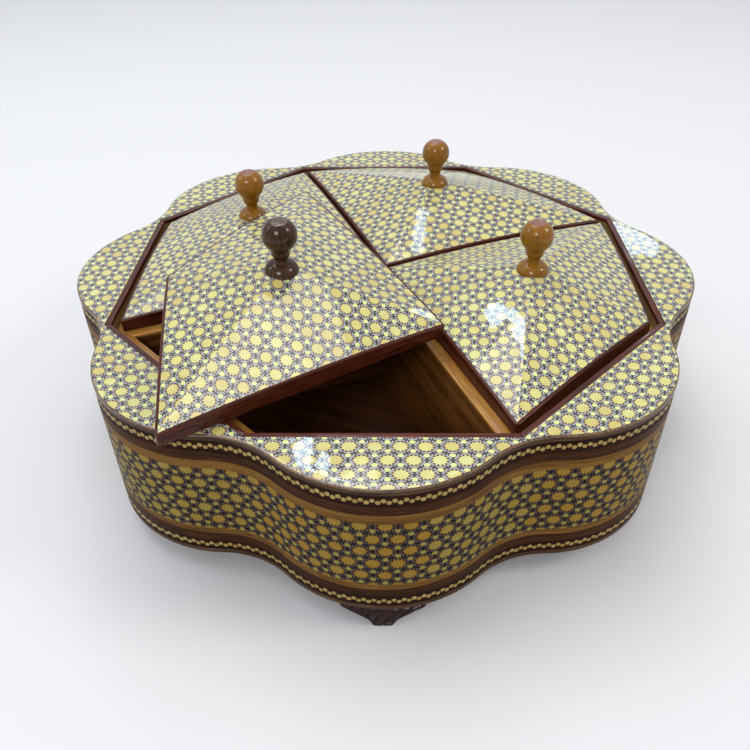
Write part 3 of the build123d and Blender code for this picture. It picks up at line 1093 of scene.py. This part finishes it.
def lid_edging(offset):
    """The four mitred strips around a lid, with the corners slightly rounded and the top edge eased."""
    bench = Bench()
    inner = kite(corner_round)
    line = []
    for k, start in enumerate(inner):
        end = inner[(k + 1) % 4]
        came, goes = outward_of(inner[k - 1], start), outward_of(start, end)
        line += [(start, came.lerp(goes, i / corner_steps).normalized()) for i in range(corner_steps)]
        line += [(start.lerp(end, i / side_steps), goes) for i in range(side_steps)]
    line.append(line[0])
    walked = [0.0]
    for (before, _), (here, _) in zip(line, line[1:]):
        walked.append(walked[-1] + (here - before).length)
    rows = []
    drawings = []
    for inset, height, on_top in edging_section:
        row = [base + facing * (corner_round - inset) for base, facing in line]
        row = [(on_lid(point) if on_top else point) + up(height) for point in row]
        rows.append(row)
        drawings.append([(w + offset, point.z + inset * 1.5) for w, point in zip(walked, row)])
    bench.grid(rows, drawings)
    return bench


print("lines along the edging:", len(edging_section))

# %% [markdown]
# The knobs are turned on a lathe: a foot with a domed top that sits in the lid, a slim waist that
# flares to a small collar with a cut line, a taper that widens into the ball, and a flat where the tool
# cut it off. Three points fix each hollow or round, as a turner's template does, and the profile then
# goes once around. A screw modifier could turn it too, but here the drawing is wanted as well, so that
# the grain runs up the knob and its flat top shows end grain. Three knobs are honey-coloured, and the
# knob of the loose lid is darker.

# %% Turn the knobs
knob_sides = 48
knob_grain = 3.0
knob_drawing_width = 14.0


def arc(start, through, end, steps=8):
    """Points on the circle through three points, after the start and up to the end."""
    (ax, ay), (bx, by), (cx, cy) = start, through, end
    d = 2 * (ax * (by - cy) + bx * (cy - ay) + cx * (ay - by))
    a2, b2, c2 = ax * ax + ay * ay, bx * bx + by * by, cx * cx + cy * cy
    middle_x = (a2 * (by - cy) + b2 * (cy - ay) + c2 * (ay - by)) / d
    middle_y = (a2 * (cx - bx) + b2 * (ax - cx) + c2 * (bx - ax)) / d
    reach = math.hypot(ax - middle_x, ay - middle_y)
    first, via, last = [math.atan2(y - middle_y, x - middle_x) for x, y in (start, through, end)]
    full = 2 * math.pi
    forwards = (via - first) % full < (last - first) % full
    sweep = (last - first) % full if forwards else -((first - last) % full)
    turns = [first + sweep * i / steps for i in range(1, steps + 1)]
    return [(middle_x + reach * math.cos(t), middle_y + reach * math.sin(t)) for t in turns]


foot_rim, waist_foot, collar, cut_line, taper_top, ball_top = (
    (6.8, 0.85), (3.0, 4.5), (3.7, 8.1), (3.7, 8.4), (4.89, 11.68), (3.3, 22.34)
)
knob_profile = [(0.0, 0.0), (6.7, 0.0), (6.8, 0.1), foot_rim]
knob_profile += arc(foot_rim, (5.43, 3.13), waist_foot)
knob_profile += arc(waist_foot, (2.7, 6.12), collar)
knob_profile += [(3.4, 8.25), cut_line]
knob_profile += arc(cut_line, (4.05, 10.04), taper_top)
knob_profile += arc(taper_top, (6.8, 16.4), ball_top, 16)
knob_profile += [(3.1, 22.4), (1.2, 22.4), (0.0, 22.4)]
end_grain_from = 67.0


def turned_knob():
    bench = Bench()
    rows = []
    drawings = []
    for radius, height in knob_profile:
        rows.append([polar(radius, 360 * i / knob_sides, height) for i in range(knob_sides + 1)])
        around = [knob_drawing_width * i / knob_sides for i in range(knob_sides + 1)]
        drawings.append([(height * knob_grain, place) for place in around])
    bench.grid(rows, drawings)
    return bench


honey_wood = timber(
    "honey_knob_wood", (0.19, 0.072, 0.001), (0.27, 0.112, 0.002), (0.33, 0.145, 0.004),
    gloss=0.7, coat_roughness=0.02, figure=0.8, coat_ior=1.5,
    end_grain=((0.14, 0.045, 0.035), (0.34, 0.16, 0.13)), end_from=end_grain_from,
)
walnut_wood = timber(
    "dark_knob_wood", (0.012, 0.004, 0.001), (0.045, 0.016, 0.004), (0.12, 0.048, 0.012),
    gloss=0.6, coat_roughness=0.02, coat_ior=1.5,
    end_grain=((0.035, 0.020, 0.014), (0.20, 0.14, 0.12)), end_from=end_grain_from,
)
print("points in the knob's profile:", len(knob_profile))

# %% [markdown]
# Three lids sit in the well, a quarter turn apart. The fourth is turned almost half round and leans on
# the rim and on the left lid, beside the right one, so it is placed by its inner corner, the way its
# axis points and the way its top faces. A lean guessed by eye would leave it hovering or cutting in, so
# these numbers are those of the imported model.

# %% Set the lids in place
seat_gap = 0.2
knob_sunk = 2.0
lid_seat = ledge_top + seat_gap
knob_seat = apex_height - knob_sunk
loose_corner = (25.5, -58.6, 75.7798)
loose_axis = Vector((-0.974013, 0.21798, 0.061504))
loose_top = Vector((0.0422, -0.092138, 0.994852))
row_turns = (0, 67.5, 22.5, 90)
largest_slide = 4
sheet_order = random.Random(5)
lid_core_wood = timber(
    "lid_core_wood", (0.22, 0.12, 0.05), (0.36, 0.21, 0.09), (0.48, 0.31, 0.15),
    angle=0, gloss=0.2, coat_roughness=0.3,
)


def seated(angle):
    """Place of a lid in the well, with its axis along an angle."""
    return Matrix.Translation(up(lid_seat)) @ Matrix.Rotation(math.radians(angle), 4, "Z")


def leaning(corner, axis, top):
    """Place of a lid by its inner corner, its axis and the way its top faces."""
    turn = Matrix((axis, top.cross(axis), top)).transposed().to_4x4()
    return Matrix.Translation(corner) @ turn


lid_places = {
    "right": seated(-22.5), "back": seated(67.5), "left": seated(157.5),
    "front": leaning(loose_corner, loose_axis, loose_top),
}
for lid, place in lid_places.items():
    body = f"lid_{lid}"
    slides = [[sheet_order.uniform(-largest_slide, largest_slide) for _ in range(2)] for _ in range(4)]
    stars = lid_sheet(row_turns, slides)
    stars.finished(f"{lid}_lid_stars", body, "star_inlay", [lid_stars], [f"{body}_inlay"], place)
    edging = lid_edging(sheet_order.uniform(0, 500))
    edging.finished(f"{lid}_lid_edging", body, "rosewood", [lid_rosewood], [f"{body}_edging"], place)
    wood, slot = (walnut_wood, "dark_knob") if lid == "front" else (honey_wood, "honey_knob")
    knob_place = place @ Matrix.Translation((knob_distance, 0, knob_seat))
    turned_knob().finished(f"{lid}_lid_knob", body, slot, [wood], [f"{body}_knob"], knob_place)
    dress(f"{body}_core", lid_core_wood)

# %% [markdown]
# ## Feet
#
# Four bracket feet, carved with slanting flutes that sweep from the wall down to the toe. The front
# face follows the lobe a little inside the wall. The flutes are real hollows in the mesh, about one
# millimetre deep, so they still show from the side. They fade out towards every edge, as a carver's
# gouge runs out of the wood. A bump in the material would be lighter, but the outline would stay flat.

# %% Carve the feet
foot_setback = 0.4
foot_depth = 20.0
foot_outline = (
    (16.4, 0.0), (15.6, 2.0), (12.0, 3.6), (9.0, 5.2), (7.2, 6.2), (5.5, 7.3), (4.3, 9.2), (3.4, 11.0),
)
flute_depth = 1.1
flute_pitch = 3.1
flute_slant = (0.75, 1.25)
flute_sway = 1.6
sway_turn = 0.55
top_fade, side_fade, toe_fade = 1.2, 0.8, 0.8
foot_columns = 64
foot_rows = 26
foot_wood = timber(
    "carved_foot_wood", (0.005, 0.001, 0.001), (0.020, 0.005, 0.003), (0.06, 0.020, 0.011),
    coat_roughness=0.16, coat_ior=1.45,
)


def half_width(drop):
    """Half the width of a foot at a depth below the wall."""
    for (wide, high), (narrow, low) in zip(foot_outline, foot_outline[1:]):
        if drop <= low:
            return wide + (narrow - wide) * (drop - high) / (low - high)
    return foot_outline[-1][0]


def flute(across, drop, wide):
    """Depth of the carving at a place on the foot's face."""
    slant = across * flute_slant[0] + drop * flute_slant[1] + flute_sway * math.sin(drop * sway_turn)
    hollow = 1 - abs(math.sin(math.pi * slant / flute_pitch))
    fade = min(1.0, drop / top_fade) * min(1.0, (wide - abs(across)) / side_fade)
    return flute_depth * hollow * fade * min(1.0, (wall_bottom - drop) / toe_fade)


def foot(angle):
    bench = Bench()
    outward, along = polar(1.0, angle), polar(1.0, angle + 90)
    radius = lobe_radius - foot_setback
    back_reach = lobe_reach - foot_setback - foot_depth
    front = []
    back = []
    for j in range(foot_rows + 1):
        drop = wall_bottom * j / foot_rows
        wide = half_width(drop)
        places = [wide * (2 * i / foot_columns - 1) for i in range(foot_columns + 1)]
        reaches = [lobe_centre + math.sqrt(radius**2 - x**2) - flute(x, drop, wide) for x in places]
        height = up(wall_bottom - drop)
        front.append([outward * reach + along * x + height for reach, x in zip(reaches, places)])
        back.append([outward * back_reach + along * x + height for x in places])

    def on_foot(point):
        return point.z, point.dot(along) + point.dot(outward)

    sides = [[[row[end] for row in front], [row[end] for row in back]] for end in (0, -1)]
    ends = [[front[end], back[end]] for end in (0, -1)]
    for rows in [front, back] + sides + ends:
        bench.grid(rows, on_foot)
    return bench


for name, angle in (("front", 270), ("right", 0), ("back", 90), ("left", 180)):
    foot(angle).finished(f"carved_foot_{name}", "box", "carved_walnut", [foot_wood], [f"foot_{name}"])

# %% [markdown]
# ## Floor, light and camera
#
# The box stands on a plain pale floor, so large that its edge is only a distant horizon in the low
# views. A curved backdrop would hide that too, but it would stand in the way of the views from behind.

# %% Floor
floor_reach = 12
floor_finish = Finish("pale_floor")
floor_finish.set(Base_Color=(0.71, 0.715, 0.735), Roughness=0.8, Specular_IOR_Level=0.2)
floor_shape = bmesh.new()
for x, y in ((-1, -1), (1, -1), (1, 1), (-1, 1)):
    floor_shape.verts.new((x * floor_reach, y * floor_reach, 0.0))
floor_shape.faces.new(list(floor_shape.verts))
floor_mesh = bpy.data.meshes.new("floor")
floor_shape.to_mesh(floor_mesh)
floor_shape.free()
floor_mesh.materials.append(floor_finish.material)
floor = bpy.data.objects.new("floor", floor_mesh)
bpy.context.scene.collection.objects.link(floor)
print("the floor is", 2 * floor_reach, "metres wide")

# %% [markdown]
# Gloss shows what it mirrors, so the light is split in two. A dim sky, brighter high up at the back, and
# large soft boxes overhead and around give an even light. Four small cool ones give almost none, but the
# lacquer mirrors them as streaks. Each stands where a ray from the camera, turned back by the lacquer at
# a streak, would go. One strong lamp would be simpler, but its mirror image would be a hard white spot.

# %% Light
scene = bpy.context.scene
scene.view_settings.view_transform = "Standard"
world = bpy.data.worlds.new("studio")
world.use_nodes = True
sky = world.node_tree
background = sky.nodes["Background"]
background.inputs["Color"].default_value = (0.93, 0.95, 1.0, 1.0)
direction = sky.nodes.new("ShaderNodeTexCoord")
towards_back = sky.nodes.new("ShaderNodeVectorMath")
towards_back.operation = "DOT_PRODUCT"
towards_back.inputs[1].default_value = (-0.1, 0.5, 0.86)
strength = sky.nodes.new("ShaderNodeMapRange")
for socket, value in zip(list(strength.inputs)[1:5], (-0.5, 0.95, 0.30, 0.80)):
    socket.default_value = value
sky.links.new(direction.outputs["Generated"], towards_back.inputs[0])
sky.links.new(towards_back.outputs["Value"], strength.inputs[0])
sky.links.new(strength.outputs[0], background.inputs["Strength"])
scene.world = world

low_aim, lid_aim, far_aim = (0, 0, 0.05), (0, 0, 0.07), (0.12, 0.03, 0.07)
cool = (0.62, 0.83, 1.0)
soft_boxes = {
    # name: place, aim, width, height, watts, colour
    "overhead_light": ((-0.25, 0.35, 1.35), low_aim, 1.1, 0.9, 8.5, (1.0, 0.99, 0.97)),
    "tall_window": ((-0.11, 0.66, 1.05), lid_aim, 0.024, 0.30, 0.24, cool),
    "short_window": ((-0.185, 0.87, 1.05), lid_aim, 0.045, 0.08, 0.13, cool),
    "side_window": ((0.18, 0.64, 1.05), lid_aim, 0.03, 0.12, 0.10, cool),
    "far_window": ((0.59, 1.29, 0.74), far_aim, 0.11, 0.07, 0.12, cool),
    "front_fill": ((-0.35, -1.1, 0.95), low_aim, 0.5, 0.4, 5.5, (1.0, 0.98, 0.95)),
    "left_fill": ((-1.2, 0.15, 0.9), low_aim, 0.4, 0.4, 1.8, (0.80, 0.92, 1.0)),
    "right_fill": ((1.2, -0.15, 1.0), low_aim, 0.4, 0.4, 5.0, (1.0, 0.93, 0.82)),
}
for name, (place, aim, width, height, watts, colour) in soft_boxes.items():
    light = bpy.data.lights.new(name, "AREA")
    light.shape = "RECTANGLE"
    light.size = width
    light.size_y = height
    light.energy = watts
    light.color = colour
    lamp = bpy.data.objects.new(name, light)
    scene.collection.objects.link(lamp)
    lamp.location = place
    lamp.rotation_euler = (Vector(aim) - Vector(place)).to_track_quat("-Z", "Y").to_euler()
print("lamps:", len(soft_boxes))

# %% [markdown]
# The camera was fitted to the eight corners of the opening: a phone-like lens held about forty
# centimetres away, looking down at thirty-eight degrees. Guessing it by eye would leave every other
# measure a little wrong, because near and far parts of a close photograph differ so much in scale.

# %% Camera
camera_place = Vector((0.00175, -0.29970, 0.24608))
heading = math.radians(-1.246)
tilt = math.radians(38.228)
roll = math.radians(-0.767)
focal_in_pixels = 740.32
picture_width = 750
sensor_width = 36.0
level = Vector((math.cos(heading), -math.sin(heading), 0))
forward = Vector((math.sin(heading) * math.cos(tilt), math.cos(heading) * math.cos(tilt), -math.sin(tilt)))
upward = level.cross(forward)
right_hand = level * math.cos(roll) + upward * math.sin(roll)
camera_up = upward * math.cos(roll) - level * math.sin(roll)
camera_data = bpy.data.cameras.new("camera")
camera_data.sensor_width = sensor_width
camera_data.lens = focal_in_pixels / picture_width * sensor_width
camera_data.clip_start = 0.01
camera = bpy.data.objects.new("camera", camera_data)
scene.collection.objects.link(camera)
turn = Matrix((right_hand, camera_up, -forward)).transposed().to_4x4()
camera.matrix_world = Matrix.Translation(camera_place) @ turn
scene.camera = camera
print("lens", round(camera_data.lens, 1), "mm on a", sensor_width, "mm sensor")

# %% [markdown]
# Last, the scene is updated. The dressed box must stay inside the imported one.

# %% Update the scene
bpy.context.view_layer.update()
